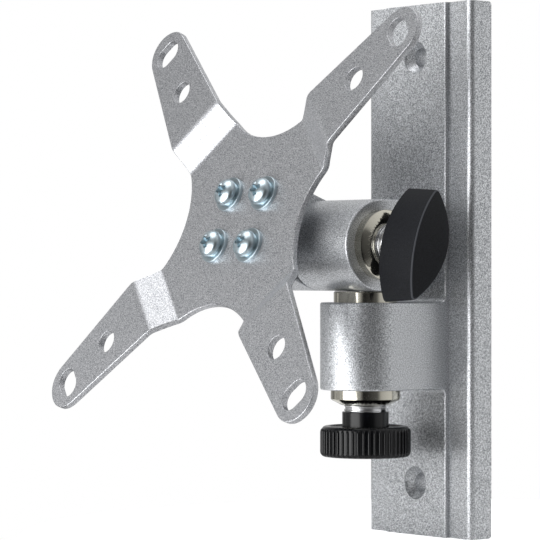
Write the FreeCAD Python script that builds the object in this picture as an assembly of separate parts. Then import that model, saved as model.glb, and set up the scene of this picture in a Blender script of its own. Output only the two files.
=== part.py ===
import FreeCAD, Part
import math
import os

# Wall mount for a small display: a wall plate with a bracket, a swivel block on a post, and a
# head block with a pressed cross plate. All lengths are millimetres and all angles degrees.
# The origin is the middle of the wall plate's back face. The wall is the plane Y = 0, the
# display faces -Y, +X is right as seen by someone who looks at the wall, and +Z is up.

# Wall plate
plate_width = 42.0
plate_height = 145.0
plate_thickness = 7.5
plate_edge_radius = 1.8
plate_back_radius = 1.0
ridge_height = 1.25
ridge_edge_radius = 0.5
wall_hole_spacing = 116.5
wall_hole_diameter = 5.2
wall_countersink_diameter = 9.0
wall_countersink_angle = 90.0
countersink_lip = 0.3

# Bracket on the wall plate
bracket_reach = 18.0
bracket_height = 23.5
bracket_root_radius = 1.8

# The two blocks share one section: a half round about the tilt axis with flat sides
block_section = 24.5
block_length = 24.5
block_edge_radius = 0.5
block_corner_radius = 1.5
tilt_axis_height = 6.6
tilt_axis_offset = 5.0
swivel_block_back = 15.5
head_block_depth = 17.75
block_gap = 0.3

# Pose of the head
rest_tilt = 20.5

# A cut starts and ends this far outside the body that it goes through
overrun = 1.0

# How close an edge lies to a plane to count as being in it
close = 0.01

# Clearances
running_gap = 0.1
shaft_clearance = 0.05
thread_clearance = 0.1
screw_clearance = 0.05

# Bushes and collars
bore_diameter = 15.0
neck_diameter = 10.0
bush_flange_diameter = 17.2
bush_flange_thickness = 3.0
bush_spigot_length = 8.0
collar_diameter = 18.8
collar_thickness = 2.8
collar_cone_height = 1.3
collar_nose_diameter = 13.2
collar_spigot_length = 4.5
collar_edge = 0.3
tilt_bush_flange_diameter = 18.0
tilt_bush_flange_thickness = 2.0
tilt_bush_spigot_length = 5.0

# Swivel post and tilt shaft
post_shoulder_diameter = 14.8
post_shoulder_length = 8.0
post_spigot_diameter = 8.0
post_spigot_length = 5.2
shaft_bore_diameter = 12.0
shaft_shoulder_diameter = 11.8
shaft_end_diameter = 8.0
shaft_end_chamfer = 0.8
pad_thickness = 2.0
pad_side_clearance = 0.1
tilt_stud_reach = 2.0
set_screw_diameter = 3.0
set_screw_length = 5.0
set_screw_socket = 1.5
set_screw_socket_depth = 2.5

# Nut at the far end of the tilt shaft, in a recess of the head block
nut_width = 13.0
nut_thickness = 6.5
nut_chamfer = 0.8
nut_recess_depth = 9.5
nut_washer_diameter = 16.0
nut_washer_thickness = 1.5
nut_recess_clearance = 1.0
friction_washer_diameter = 18.0
friction_washer_thickness = 1.2

# Studs of the two knobs
stud_diameter = 11.0
stud_thread_diameter = 11.4
stud_tip_chamfer = 0.8
stud_root_diameter = 8.0
stud_root_length = 6.5

# Knurled clamp knob under the bracket
clamp_gap = 1.85
clamp_neck_diameter = 12.6
clamp_neck_length = 3.8
clamp_knob_diameter = 24.5
clamp_knob_height = 8.3
clamp_knob_edge = 0.9
clamp_rib_count = 50
clamp_rib_depth = 0.45
clamp_rib_share = 0.42
clamp_flank_share = 0.08
clamp_dish_diameter = 20.5
clamp_dish_depth = 0.7

# Wing knob of the tilt clamp
wing_gap = 2.6
wing_base_length = 31.2
wing_top_length = 29.4
wing_width = 11.8
wing_end_radius = 1.3
wing_height = 13.4
wing_crown = 2.4
wing_edge_chamfer = 0.4
wing_rest_turn = 16.5

# Cross plate of the head
sheet_thickness = 2.0
joggle_height = 5.0
joggle_start = 31.0
joggle_end = 38.5
joggle_bend_radius = 2.5
outer_hole_square = 100.0
inner_hole_square = 75.0
display_hole_diameter = 6.5
outer_slot_travel = 2.5
arm_tip_radius = 7.2
arm_root_half_width = 10.1
arm_side_straight = 3.8
arm_shoulder_radius = 20.0
sheet_edge_chamfer = 0.3

# Screws that hold the cross plate to the head block
head_screw_square = 15.0
head_screw_diameter = 4.0
head_screw_length = 10.0
head_screw_head_diameter = 8.0
head_screw_head_height = 2.9
head_screw_rim_height = 0.8
head_screw_point_chamfer = 0.4
head_screw_hole_spare = 1.0
cross_width = 1.1
cross_span = 4.4
cross_depth = 1.9
cross_bottom_width = 0.8
cross_bottom_span = 1.6
head_washer_diameter = 9.6
head_washer_thickness = 1.0
head_washer_edge = 0.2

# Places that follow from the sizes above
ridge_face = -(plate_thickness + ridge_height)
post_y = ridge_face - bracket_reach
tilt_y = post_y - tilt_axis_offset
half_section = block_section / 2
half_length = block_length / 2
block_bottom = tilt_axis_height - half_section
bracket_top = block_bottom - running_gap - bush_flange_thickness
bracket_bottom = bracket_top - bracket_height
collar_end = bracket_bottom - collar_thickness - collar_cone_height
head_near_face = -half_length - block_gap
head_centre = head_near_face - half_length
head_far_face = head_near_face - block_length
friction_seat_depth = friction_washer_thickness - (block_gap - running_gap)
sheet_back = -head_block_depth
arm_end = outer_hole_square / math.sqrt(2) + arm_tip_radius
arm_notch_radius = joggle_end - arm_root_half_width - arm_side_straight
press_depth = joggle_height + 3 * sheet_thickness

right = FreeCAD.Vector(1, 0, 0)
out = FreeCAD.Vector(0, -1, 0)
up = FreeCAD.Vector(0, 0, 1)


def vec(x, y, z):
    return FreeCAD.Vector(x, y, z)


def rounded_wire(corners, place):
    """A closed outline with a radius at each corner. A corner is (a, b, radius)."""
    count = len(corners)
    starts = []
    arcs = []
    for i in range(count):
        a, b, radius = corners[i]
        corner = vec(a, b, 0)
        before = vec(corners[i - 1][0], corners[i - 1][1], 0) - corner
        after = vec(corners[(i + 1) % count][0], corners[(i + 1) % count][1], 0) - corner
        before.normalize()
        after.normalize()
        if radius == 0:
            starts.append((corner, corner))
            arcs.append(None)
            continue
        half_angle = before.getAngle(after) / 2
        reach = radius / math.tan(half_angle)
        middle = before + after
        middle.normalize()
        nearest = corner + middle * (radius / math.sin(half_angle) - radius)
        start = corner + before * reach
        end = corner + after * reach
        starts.append((start, end))
        arcs.append(Part.Arc(place(start), place(nearest), place(end)).toShape())
    edges = []
    for i in range(count):
        if arcs[i] is not None:
            edges.append(arcs[i])
        line_start = starts[i][1]
        line_end = starts[(i + 1) % count][0]
        if line_start.distanceToPoint(line_end) > 0.0001:
            edges.append(Part.LineSegment(place(line_start), place(line_end)).toShape())
    return Part.Wire(edges)


def in_plan(point):
    """An outline point (x, y) laid in the horizontal plane."""
    return vec(point.x, point.y, 0)


def in_side(point):
    """An outline point (y, z) laid in the vertical plane across the wall."""
    return vec(0, point.x, point.y)


def on_wall(point):
    """An outline point (x, z) laid in the plane of the wall."""
    return vec(point.x, 0, point.y)


def prism(corners, place, base, travel):
    face = Part.Face(rounded_wire(corners, place))
    face.translate(base)
    return face.extrude(travel)


def turned(profile, base, axis):
    """A body of revolution. The profile is (radius, height) along the axis from the base."""
    points = [vec(radius, 0, height) for radius, height in profile]
    face = Part.Face(Part.makePolygon(points + [points[0]]))
    body = face.revolve(vec(0, 0, 0), up, 360)
    body.Placement = FreeCAD.Placement(base, FreeCAD.Rotation(up, axis))
    return body


def rod(diameter, base, travel):
    return Part.makeCylinder(diameter / 2, travel.Length, base, travel)


def fillet_where(shape, radius, chosen):
    edges = [edge for edge in shape.Edges if chosen(edge)]
    return shape.makeFillet(radius, edges)


def runs_along_x(edge, y, z):
    box = edge.BoundBox
    return (abs(box.YMin - y) < close and abs(box.YMax - y) < close
            and abs(box.ZMin - z) < close and abs(box.ZMax - z) < close)


def base_plate():
    half = plate_width / 2
    round_edge = plate_edge_radius
    corners = [(-half, 0, 0), (half, 0, 0), (half, -plate_thickness, round_edge),
               (-half, -plate_thickness, round_edge)]
    plate = prism(corners, in_plan, up * (-plate_height / 2), up * plate_height)
    ends = (plate_height / 2, -plate_height / 2)
    return fillet_where(plate, plate_back_radius,
                        lambda edge: any(runs_along_x(edge, 0, end) for end in ends))


def ridge_and_bracket():
    """The ridge and the bracket: a side outline cut to a rounded plan outline."""
    half_height = plate_height / 2
    front = post_y - half_section
    root = bracket_root_radius
    side = [(-plate_thickness, -half_height, 0), (-plate_thickness, half_height, 0),
            (ridge_face, half_height, 0), (ridge_face, bracket_top, root), (front, bracket_top, 0),
            (front, bracket_bottom, 0), (ridge_face, bracket_bottom, root),
            (ridge_face, -half_height, 0)]
    upright = prism(side, in_side, right * -half_section, right * block_section)
    plan = [(-half_section, -plate_thickness, 0), (half_section, -plate_thickness, 0),
            (half_section, front, half_section), (-half_section, front, half_section)]
    column = prism(plan, in_plan, up * -half_height, up * plate_height)
    return upright.common(column)


def wall_hole(height):
    """A countersunk screw hole in the ridge, with a short lip above the cone."""
    rim = wall_countersink_diameter / 2
    hole = wall_hole_diameter / 2
    cone = (rim - hole) / math.tan(math.radians(wall_countersink_angle / 2))
    depth = -ridge_face
    profile = [(0, -overrun), (rim, -overrun), (rim, countersink_lip), (hole, countersink_lip + cone),
               (hole, depth + overrun), (0, depth + overrun)]
    return turned(profile, vec(0, ridge_face, height), out * -1)


def is_bracket_rim(edge):
    """Outer edges of the ridge and the bracket that are rounded over."""
    box = edge.BoundBox
    along_ridge = (abs(box.YMax - ridge_face) < close and abs(box.YMin - ridge_face) < close
                   and box.ZLength > bracket_root_radius * 2)
    round_bracket = box.YMin < ridge_face - close and box.ZLength < bracket_root_radius + close
    across = box.XLength > block_section - close and box.YLength < close
    return (along_ridge or round_bracket) and not across


def wall_plate():
    body = fillet_where(ridge_and_bracket(), ridge_edge_radius, is_bracket_rim)
    body = base_plate().fuse(body)
    bore = rod(bore_diameter, vec(0, post_y, bracket_bottom - overrun),
               up * (bracket_height + 2 * overrun))
    holes = [wall_hole(side * wall_hole_spacing / 2) for side in (-1, 1)]
    return body.cut([bore] + holes).removeSplitter()


def flanged_bush(flange_diameter, flange_thickness, spigot_length, hole_diameter, base, axis):
    """A turned bush. The base is the seat of the flange, the spigot points along the axis."""
    hole = hole_diameter / 2
    edge = collar_edge
    flange = flange_diameter / 2
    spigot = bore_diameter / 2
    profile = [(hole, -flange_thickness), (flange - edge, -flange_thickness),
               (flange, -flange_thickness + edge), (flange, 0), (spigot, 0),
               (spigot, spigot_length), (hole, spigot_length)]
    return turned(profile, base, axis)


def threaded_collar(base, axis):
    """The collar that a knob's stud screws through, with a cone on its outer face."""
    hole = stud_thread_diameter / 2 + thread_clearance
    rim = collar_diameter / 2
    nose = collar_nose_diameter / 2
    spigot = bore_diameter / 2
    edge = collar_edge
    profile = [(hole, -collar_thickness - collar_cone_height),
               (nose, -collar_thickness - collar_cone_height), (rim - edge, -collar_thickness),
               (rim, -collar_thickness + edge), (rim, 0), (spigot, 0),
               (spigot, collar_spigot_length), (hole, collar_spigot_length)]
    return turned(profile, base, axis)


def bracket_bush():
    return flanged_bush(bush_flange_diameter, bush_flange_thickness, bush_spigot_length,
                        neck_diameter + 2 * shaft_clearance, vec(0, post_y, bracket_top), up * -1)


def bracket_collar():
    return threaded_collar(vec(0, post_y, bracket_bottom), up)


def tilt_bush():
    seat = vec(-half_length + tilt_bush_flange_thickness, tilt_y, tilt_axis_height)
    return flanged_bush(tilt_bush_flange_diameter, tilt_bush_flange_thickness,
                        tilt_bush_spigot_length, neck_diameter + 2 * shaft_clearance, seat, right)


def tilt_collar():
    return threaded_collar(vec(half_length, tilt_y, tilt_axis_height), right * -1)


def swivel_post():
    """Turned post: spigot in the swivel block, neck in the bush, shoulder below the bush."""
    spigot = post_spigot_diameter / 2
    neck = neck_diameter / 2
    shoulder = post_shoulder_diameter / 2
    chamfer = shaft_end_chamfer
    neck_length = running_gap + bush_flange_thickness + bush_spigot_length + running_gap
    end = neck_length + post_shoulder_length
    profile = [(0, -post_spigot_length), (spigot - chamfer, -post_spigot_length),
               (spigot, -post_spigot_length + chamfer), (spigot, 0), (neck, 0), (neck, neck_length),
               (shoulder, neck_length), (shoulder, end - chamfer), (shoulder - chamfer, end), (0, end)]
    return turned(profile, vec(0, post_y, block_bottom), up * -1)


def swivel_pad():
    """Friction pad between the post and the clamp stud."""
    top = bracket_top - bush_spigot_length - running_gap - post_shoulder_length - running_gap
    return rod(bore_diameter - 2 * pad_side_clearance, vec(0, post_y, top), up * -pad_thickness)


def d_block(depth, start, back_sign):
    """The common block: half round about the tilt axis, flat sides, and a flat end at depth."""
    flat = back_sign * depth
    round_end = -back_sign * half_section
    corner = block_corner_radius
    corners = [(flat, -half_section, corner), (flat, half_section, corner),
               (round_end, half_section, half_section), (round_end, -half_section, half_section)]
    block = prism(corners, in_side, right * start, right * block_length)
    ends = (start, start + block_length)
    return fillet_where(block, block_edge_radius,
                        lambda edge: any(abs(edge.BoundBox.XMin - end) < close
                                         and abs(edge.BoundBox.XMax - end) < close for end in ends))


def set_screw_place():
    """Outer end of the set screw that locks the post in the swivel block."""
    return vec(0, tilt_y + swivel_block_back, block_bottom + post_spigot_length / 2)


def swivel_block():
    block = d_block(swivel_block_back, -half_length, 1)
    block.translate(vec(0, tilt_y, tilt_axis_height))
    near = vec(half_length + overrun, tilt_y, tilt_axis_height)
    far = vec(-half_length - overrun, tilt_y, tilt_axis_height)
    below = vec(0, post_y, block_bottom - overrun)
    behind = set_screw_place() - out * overrun
    flange_seat = tilt_bush_flange_diameter + 2 * screw_clearance
    bush_depth = tilt_bush_flange_thickness + tilt_bush_spigot_length
    cuts = [rod(shaft_bore_diameter, far, right * (block_length + 2 * overrun)),
            rod(bore_diameter, near, right * -(collar_spigot_length + overrun)),
            rod(bore_diameter, far, right * (bush_depth + overrun)),
            rod(flange_seat, far, right * (tilt_bush_flange_thickness + overrun)),
            rod(post_spigot_diameter, below, up * (post_spigot_length + overrun)),
            rod(set_screw_diameter, behind, out * (set_screw_reach() + overrun))]
    return block.cut(cuts)


def set_screw_reach():
    """Length of the set screw's hole, from the back of the block to the post's spigot."""
    return swivel_block_back - tilt_axis_offset - post_spigot_diameter / 2


def post_set_screw():
    """Headless screw with a hexagon socket, run in until it bears on the post's spigot."""
    start = set_screw_place() + out * (set_screw_reach() - set_screw_length)
    screw = rod(set_screw_diameter, start, out * set_screw_length)
    socket = hexagon(set_screw_socket, set_screw_socket_depth + overrun)
    socket.Placement = FreeCAD.Placement(start - out * overrun, FreeCAD.Rotation(up, out))
    return screw.cut(socket)


def hexagon(width, height):
    """A hexagonal prism, its width measured across the flats."""
    reach = width / math.sqrt(3)
    points = []
    for i in range(6):
        turn = math.radians(60 * i)
        points.append(vec(reach * math.cos(turn), reach * math.sin(turn), 0))
    return Part.Face(Part.makePolygon(points + [points[0]])).extrude(up * height)


def tilt_shaft():
    """Turned shaft: shoulder in the swivel block, neck in the bush, threaded end in the head."""
    shoulder = shaft_shoulder_diameter / 2
    neck = neck_diameter / 2
    end = shaft_end_diameter / 2
    chamfer = shaft_end_chamfer
    neck_end = -head_near_face + friction_seat_depth
    bush_end = half_length - tilt_bush_flange_thickness - tilt_bush_spigot_length
    shoulder_start = pad_face()
    tip = -head_far_face - shaft_end_inset()
    profile = [(0, -shoulder_start), (shoulder - chamfer, -shoulder_start),
               (shoulder, chamfer - shoulder_start), (shoulder, bush_end - running_gap),
               (neck, bush_end - running_gap), (neck, neck_end), (end, neck_end),
               (end, tip - chamfer), (end - chamfer, tip), (0, tip)]
    return in_head(turned(profile, vec(0, 0, 0), right * -1))


def shaft_end_inset():
    """How far the shaft's threaded end stays below the far face of the head block."""
    return nut_recess_depth - nut_washer_thickness - nut_thickness - shaft_end_chamfer


def pad_face():
    """Where the tilt shaft ends and the friction pad of the tilt clamp starts."""
    return half_length - collar_spigot_length - tilt_stud_reach - pad_thickness - 2 * running_gap


def tilt_pad():
    diameter = shaft_bore_diameter - 2 * pad_side_clearance
    return rod(diameter, vec(pad_face() + running_gap, tilt_y, tilt_axis_height), right * pad_thickness)


def stud(tip, neck_end, base, axis):
    """Threaded stud of a knob, from its tip to the knob, with a thinner root inside the knob."""
    body = stud_diameter / 2
    root = stud_root_diameter / 2
    chamfer = stud_tip_chamfer
    profile = [(0, tip), (body - chamfer, tip), (body, tip + chamfer), (body, neck_end),
               (root, neck_end), (root, neck_end + stud_root_length), (0, neck_end + stud_root_length)]
    return turned(profile, base, axis)


def clamp_neck_top():
    return collar_end - clamp_gap


def clamp_knob_top():
    return clamp_neck_top() - clamp_neck_length


def clamp_stud():
    pad_end = (bracket_top - bush_spigot_length - post_shoulder_length - pad_thickness
               - 3 * running_gap)
    return stud(-pad_end, -clamp_knob_top(), vec(0, post_y, 0), up * -1)


def ribbed_disc(diameter, height):
    """A disc with straight ribs, each rib a flat top with a flank on either side."""
    outer = diameter / 2
    inner = outer - clamp_rib_depth
    pitch = 2 * math.pi / clamp_rib_count
    half_rib = pitch * clamp_rib_share / 2
    half_foot = half_rib + pitch * clamp_flank_share
    points = []
    for i in range(clamp_rib_count):
        for radius, turn in ((inner, -half_foot), (outer, -half_rib), (outer, half_rib), (inner, half_foot)):
            angle = i * pitch + turn
            points.append(vec(radius * math.cos(angle), radius * math.sin(angle), 0))
    return Part.Face(Part.makePolygon(points + [points[0]])).extrude(up * height)


def clamp_knob():
    """Knurled knob with a neck, moulded over the root of its stud."""
    radius = clamp_knob_diameter / 2
    edge = clamp_knob_edge
    dish = clamp_dish_diameter / 2
    height = clamp_knob_height
    rim_profile = [(0, 0), (radius - edge, 0), (radius, edge), (radius, height - edge),
                   (radius - edge, height), (0, height)]
    knob = ribbed_disc(clamp_knob_diameter, height).common(turned(rim_profile, vec(0, 0, 0), up))
    dish_profile = [(0, -overrun), (dish, -overrun), (dish, 0),
                    (dish - clamp_dish_depth, clamp_dish_depth), (0, clamp_dish_depth)]
    knob = knob.cut(turned(dish_profile, vec(0, 0, 0), up))
    knob = knob.fuse(rod(clamp_neck_diameter, vec(0, 0, -clamp_neck_length),
                         up * (clamp_neck_length + clamp_dish_depth + overrun)))
    above = vec(0, 0, -clamp_neck_length - overrun)
    bores = [rod(stud_diameter, above, up * (clamp_neck_length + overrun)),
             rod(stud_root_diameter, vec(0, 0, 0), up * stud_root_length)]
    knob = knob.cut(bores).removeSplitter()
    knob.Placement = FreeCAD.Placement(vec(0, post_y, clamp_knob_top()), FreeCAD.Rotation(right, 180))
    return knob


def lens_wire(length, height):
    """A pointed oval of two equal arcs with rounded ends, long along the third axis."""
    half = length / 2 - wing_end_radius
    side = wing_width / 2
    flank = (half ** 2 + side ** 2 - wing_end_radius ** 2) / (2 * (side - wing_end_radius))
    centre = flank - side
    lean = math.atan2(half, centre)
    end_dy = wing_end_radius * math.cos(lean)
    end_dz = wing_end_radius * math.sin(lean)
    tip = length / 2
    a = vec(height, end_dy, half + end_dz)
    b = vec(height, -end_dy, half + end_dz)
    c = vec(height, -end_dy, -half - end_dz)
    d = vec(height, end_dy, -half - end_dz)
    edges = [Part.Arc(a, vec(height, 0, tip), b).toShape(),
             Part.Arc(b, vec(height, -side, 0), c).toShape(),
             Part.Arc(c, vec(height, 0, -tip), d).toShape(),
             Part.Arc(d, vec(height, side, 0), a).toShape()]
    return Part.Wire(edges)


def wing_start():
    return half_length + collar_thickness + collar_cone_height + wing_gap


def wing_knob():
    """Wing of pointed oval section, drafted along its height, with a crowned end face."""
    lens = [lens_wire(wing_base_length, 0), lens_wire(wing_top_length, wing_height + overrun)]
    half = wing_top_length / 2
    crown_radius = (half ** 2 + wing_crown ** 2) / (2 * wing_crown)
    crown_axis = vec(wing_height - crown_radius, -wing_width, 0)
    crown = Part.makeCylinder(crown_radius, 2 * wing_width, crown_axis, out * -1)
    crown.rotate(crown_axis, out, 180)
    body = Part.makeLoft(lens, True, True).common(crown).Solids[0]
    crest = [edge for edge in body.Edges if edge.BoundBox.XMin > wing_height / 2]
    body = body.makeChamfer(wing_edge_chamfer, crest)
    body = body.cut(rod(stud_root_diameter, right * -overrun, right * (stud_root_length + overrun)))
    body.rotate(vec(0, 0, 0), right, -wing_rest_turn)
    body.translate(vec(wing_start(), tilt_y, tilt_axis_height))
    return body


def wing_stud():
    tip = pad_face() + 2 * running_gap + pad_thickness
    return stud(tip, wing_start(), vec(0, tilt_y, tilt_axis_height), right)


def in_head(shape):
    """Moves a shape from the head's own upright frame on the tilt axis to its rest pose."""
    shape.rotate(vec(0, 0, 0), right, -rest_tilt)
    shape.translate(vec(0, tilt_y, tilt_axis_height))
    return shape


def square_corners(spacing):
    half = spacing / 2
    return [(-half, half), (half, half), (-half, -half), (half, -half)]


def head_block():
    block = d_block(head_block_depth, head_far_face, -1)
    near = vec(head_near_face + overrun, 0, 0)
    far = vec(head_far_face - overrun, 0, 0)
    recess = nut_washer_diameter + nut_recess_clearance
    washer_seat = friction_washer_diameter + 2 * screw_clearance
    cuts = [rod(shaft_end_diameter + 2 * shaft_clearance, far, right * (block_length + 2 * overrun)),
            rod(recess, far, right * (nut_recess_depth + overrun)),
            rod(washer_seat, near, right * -(friction_seat_depth + overrun))]
    reach = head_screw_length - head_washer_thickness - sheet_thickness + head_screw_hole_spare
    for x, z in square_corners(head_screw_square):
        start = vec(head_centre + x, sheet_back - overrun, z)
        cuts.append(rod(head_screw_diameter + 2 * screw_clearance, start, out * -(reach + overrun)))
    return in_head(block.cut(cuts))


def friction_washer():
    """Polymer ring between the two blocks, let into the head block's near face."""
    outer = friction_washer_diameter / 2
    inner = neck_diameter / 2 + shaft_clearance
    face = half_length + running_gap
    profile = [(inner, face), (outer, face), (outer, face + friction_washer_thickness),
               (inner, face + friction_washer_thickness)]
    return in_head(turned(profile, vec(0, 0, 0), right * -1))


def nut_washer():
    outer = nut_washer_diameter / 2
    inner = shaft_end_diameter / 2 + shaft_clearance
    seat = -head_far_face - nut_recess_depth
    profile = [(inner, seat), (outer, seat), (outer, seat + nut_washer_thickness),
               (inner, seat + nut_washer_thickness)]
    return in_head(turned(profile, vec(0, 0, 0), right * -1))


def tilt_nut():
    nut = hexagon(nut_width, nut_thickness)
    nut = nut.cut(rod(shaft_end_diameter, up * -overrun, up * (nut_thickness + 2 * overrun)))
    reach = nut_width / math.sqrt(3) - nut_chamfer
    cone = Part.makeCone(reach + nut_thickness, reach, nut_thickness)
    nut = nut.common(cone)
    place = vec(head_far_face + nut_recess_depth - nut_washer_thickness, 0, 0)
    nut.Placement = FreeCAD.Placement(place, FreeCAD.Rotation(up, right * -1))
    return in_head(nut)


def cross_outline():
    """Outline of the cross plate: four tapered arms with round tips and round notches."""
    root = arm_root_half_width
    run = arm_end - arm_tip_radius - joggle_end
    taper = math.atan2(root, run) - math.asin(arm_tip_radius / math.hypot(root, run))
    tip_half = arm_tip_radius / math.cos(taper) - arm_tip_radius * math.tan(taper)
    corners = []
    for quarter in range(4):
        turn = math.radians(45 + 90 * quarter)
        along = vec(math.cos(turn), math.sin(turn), 0)
        across = vec(-math.sin(turn), math.cos(turn), 0)
        notch = vec(math.cos(turn - math.pi / 4), math.sin(turn - math.pi / 4), 0) * (root * math.sqrt(2))
        steps = [(notch, arm_notch_radius),
                 (along * joggle_end - across * root, arm_shoulder_radius),
                 (along * arm_end - across * tip_half, arm_tip_radius),
                 (along * arm_end + across * tip_half, arm_tip_radius),
                 (along * joggle_end + across * root, arm_shoulder_radius)]
        for point, radius in steps:
            corners.append((point.x, point.y, radius))
    return corners


def joggled_strip():
    """One straight strip of sheet with the joggle, along +X, its back face at height 0."""
    thick = sheet_thickness
    rise = joggle_height
    reach = arm_end + overrun
    inside = joggle_bend_radius
    outside = inside + thick
    slope = math.atan2(rise, joggle_end - joggle_start)
    shift = thick * math.tan(slope / 2)
    corners = [(0, 0, 0), (joggle_start, 0, outside), (joggle_end, rise, inside),
               (reach, rise, 0), (reach, rise + thick, 0), (joggle_end - shift, rise + thick, outside),
               (joggle_start - shift, thick, inside), (0, thick, 0)]
    width = 2 * arm_notch_radius
    face = Part.Face(rounded_wire(corners, on_wall))
    face.translate(vec(0, -width / 2, 0))
    return face.extrude(vec(0, width, 0))


def display_holes():
    """Round inner holes, and outer slots that run across their arms."""
    cuts = []
    radius = display_hole_diameter / 2
    for x, y in square_corners(inner_hole_square):
        cuts.append(Part.makeCylinder(radius, press_depth, vec(x, y, -sheet_thickness)))
    for x, y in square_corners(outer_hole_square):
        across = vec(-y, x, 0)
        across.normalize()
        half = across * (outer_slot_travel / 2)
        centre = vec(x, y, -sheet_thickness)
        side = vec(x, y, 0)
        side.normalize()
        side = side * radius
        ends = [centre + half + side, centre - half + side, centre - half - side, centre + half - side]
        slot = Part.Face(Part.makePolygon(ends + [ends[0]])).extrude(up * press_depth)
        for end in (half, half * -1):
            slot = slot.fuse(Part.makeCylinder(radius, press_depth, centre + end))
        cuts.append(slot.removeSplitter())
    return cuts


def face_slope(face, point):
    """How far a face's normal leans towards the vertical, from 0 to 1."""
    u, v = face.Surface.parameter(point)
    return abs(face.normalAt(u, v).z)


def is_sheet_rim(sheet, edge):
    """Whether an edge lies between a skin of the sheet and its cut side."""
    faces = sheet.ancestorsOfType(edge, Part.Face)
    if len(faces) != 2:
        return False
    middle = edge.valueAt((edge.FirstParameter + edge.LastParameter) / 2)
    slopes = sorted(face_slope(face, middle) for face in faces)
    return slopes[0] < 0.2 and slopes[1] > 0.5


def facing_display(shape):
    """Turns a shape made flat, with its front upwards, to stand behind the display."""
    shape.rotate(vec(0, 0, 0), right, 90)
    shape.translate(vec(head_centre, sheet_back, 0))
    return in_head(shape)


def cross_plate():
    """The cross plate: strips of sheet with a joggle, cut to the outline, their rims broken."""
    outline = Part.Face(rounded_wire(cross_outline(), in_plan))
    outline.translate(up * -sheet_thickness)
    outline = outline.extrude(up * press_depth)
    strips = []
    for quarter in range(4):
        strip = joggled_strip()
        strip.rotate(vec(0, 0, 0), up, 45 + 90 * quarter)
        strips.append(strip)
    sheet = strips[0].fuse(strips[1:]).removeSplitter()
    sheet = sheet.common(outline)
    holes = display_holes()
    for x, y in square_corners(head_screw_square):
        hole = head_screw_diameter + 2 * screw_clearance
        holes.append(rod(hole, vec(x, y, -overrun), up * (sheet_thickness + 2 * overrun)))
    rims = [edge for edge in sheet.Edges if is_sheet_rim(sheet, edge)]
    sheet = sheet.makeChamfer(sheet_edge_chamfer, rims)
    return facing_display(sheet.cut(holes))


def head_washer(x, z):
    outer = head_washer_diameter / 2
    inner = head_screw_diameter / 2 + screw_clearance
    edge = head_washer_edge
    thick = head_washer_thickness
    profile = [(inner, 0), (outer, 0), (outer, thick - edge), (outer - edge, thick), (inner, thick)]
    return facing_display(turned(profile, vec(x, z, sheet_thickness), up))


def head_screw(x, z):
    """Pan-head screw with a cross recess."""
    radius = head_screw_head_diameter / 2
    height = head_screw_head_height
    rim = head_screw_rim_height
    shank = head_screw_diameter / 2
    chamfer = head_screw_point_chamfer
    points = [vec(0, 0, -head_screw_length), vec(shank - chamfer, 0, -head_screw_length),
              vec(shank, 0, chamfer - head_screw_length), vec(shank, 0, 0), vec(radius, 0, 0),
              vec(radius, 0, rim)]
    edges = [Part.makeLine(points[i], points[i + 1]) for i in range(len(points) - 1)]
    top = vec(0, 0, height)
    dome_radius = (radius ** 2 + (height - rim) ** 2) / (2 * (height - rim))
    half_slope = math.asin(radius / dome_radius) / 2
    middle = vec(dome_radius * math.sin(half_slope), 0, height - dome_radius * (1 - math.cos(half_slope)))
    edges.append(Part.Arc(points[-1], middle, top).toShape())
    edges.append(Part.makeLine(top, points[0]))
    screw = Part.Face(Part.Wire(edges)).revolve(vec(0, 0, 0), up, 360)
    for turn in (0, 90):
        blade = tapered_blade(height - cross_depth, height)
        blade.rotate(vec(0, 0, 0), up, turn)
        screw = screw.cut(blade)
    screw.translate(vec(x, z, sheet_thickness + head_washer_thickness))
    return facing_display(screw)


def tapered_blade(bottom, top):
    """One blade of the cross recess, narrower and shorter towards its bottom."""
    levels = []
    for span, width, height in ((cross_bottom_span, cross_bottom_width, bottom),
                                (cross_span, cross_width, top)):
        x = span / 2
        y = width / 2
        corners = [vec(-x, -y, height), vec(x, -y, height), vec(x, y, height), vec(-x, y, height)]
        levels.append(Part.makePolygon(corners + [corners[0]]))
    return Part.makeLoft(levels, True, True)


def all_nodes():
    nodes = {
        "wall_plate": wall_plate(),
        "bracket_bush": bracket_bush(),
        "bracket_collar": bracket_collar(),
        "swivel_friction_pad": swivel_pad(),
        "swivel_block": swivel_block(),
        "swivel_post": swivel_post(),
        "post_set_screw": post_set_screw(),
        "tilt_bush": tilt_bush(),
        "tilt_collar": tilt_collar(),
        "tilt_friction_pad": tilt_pad(),
        "head_block": head_block(),
        "tilt_shaft": tilt_shaft(),
        "friction_washer": friction_washer(),
        "tilt_nut_washer": nut_washer(),
        "tilt_nut": tilt_nut(),
        "cross_plate": cross_plate(),
        "clamp_knob": clamp_knob(),
        "clamp_stud": clamp_stud(),
        "wing_knob": wing_knob(),
        "wing_stud": wing_stud(),
    }
    names = ("top_left", "top_right", "bottom_left", "bottom_right")
    for name, (x, z) in zip(names, square_corners(head_screw_square)):
        nodes["head_screw_" + name] = head_screw(x, z)
        nodes["head_washer_" + name] = head_washer(x, z)
    return nodes


os.makedirs("parts", exist_ok=True)
for name, shape in all_nodes().items():
    shape.exportStep("parts/" + name + ".step")
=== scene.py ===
import math

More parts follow.
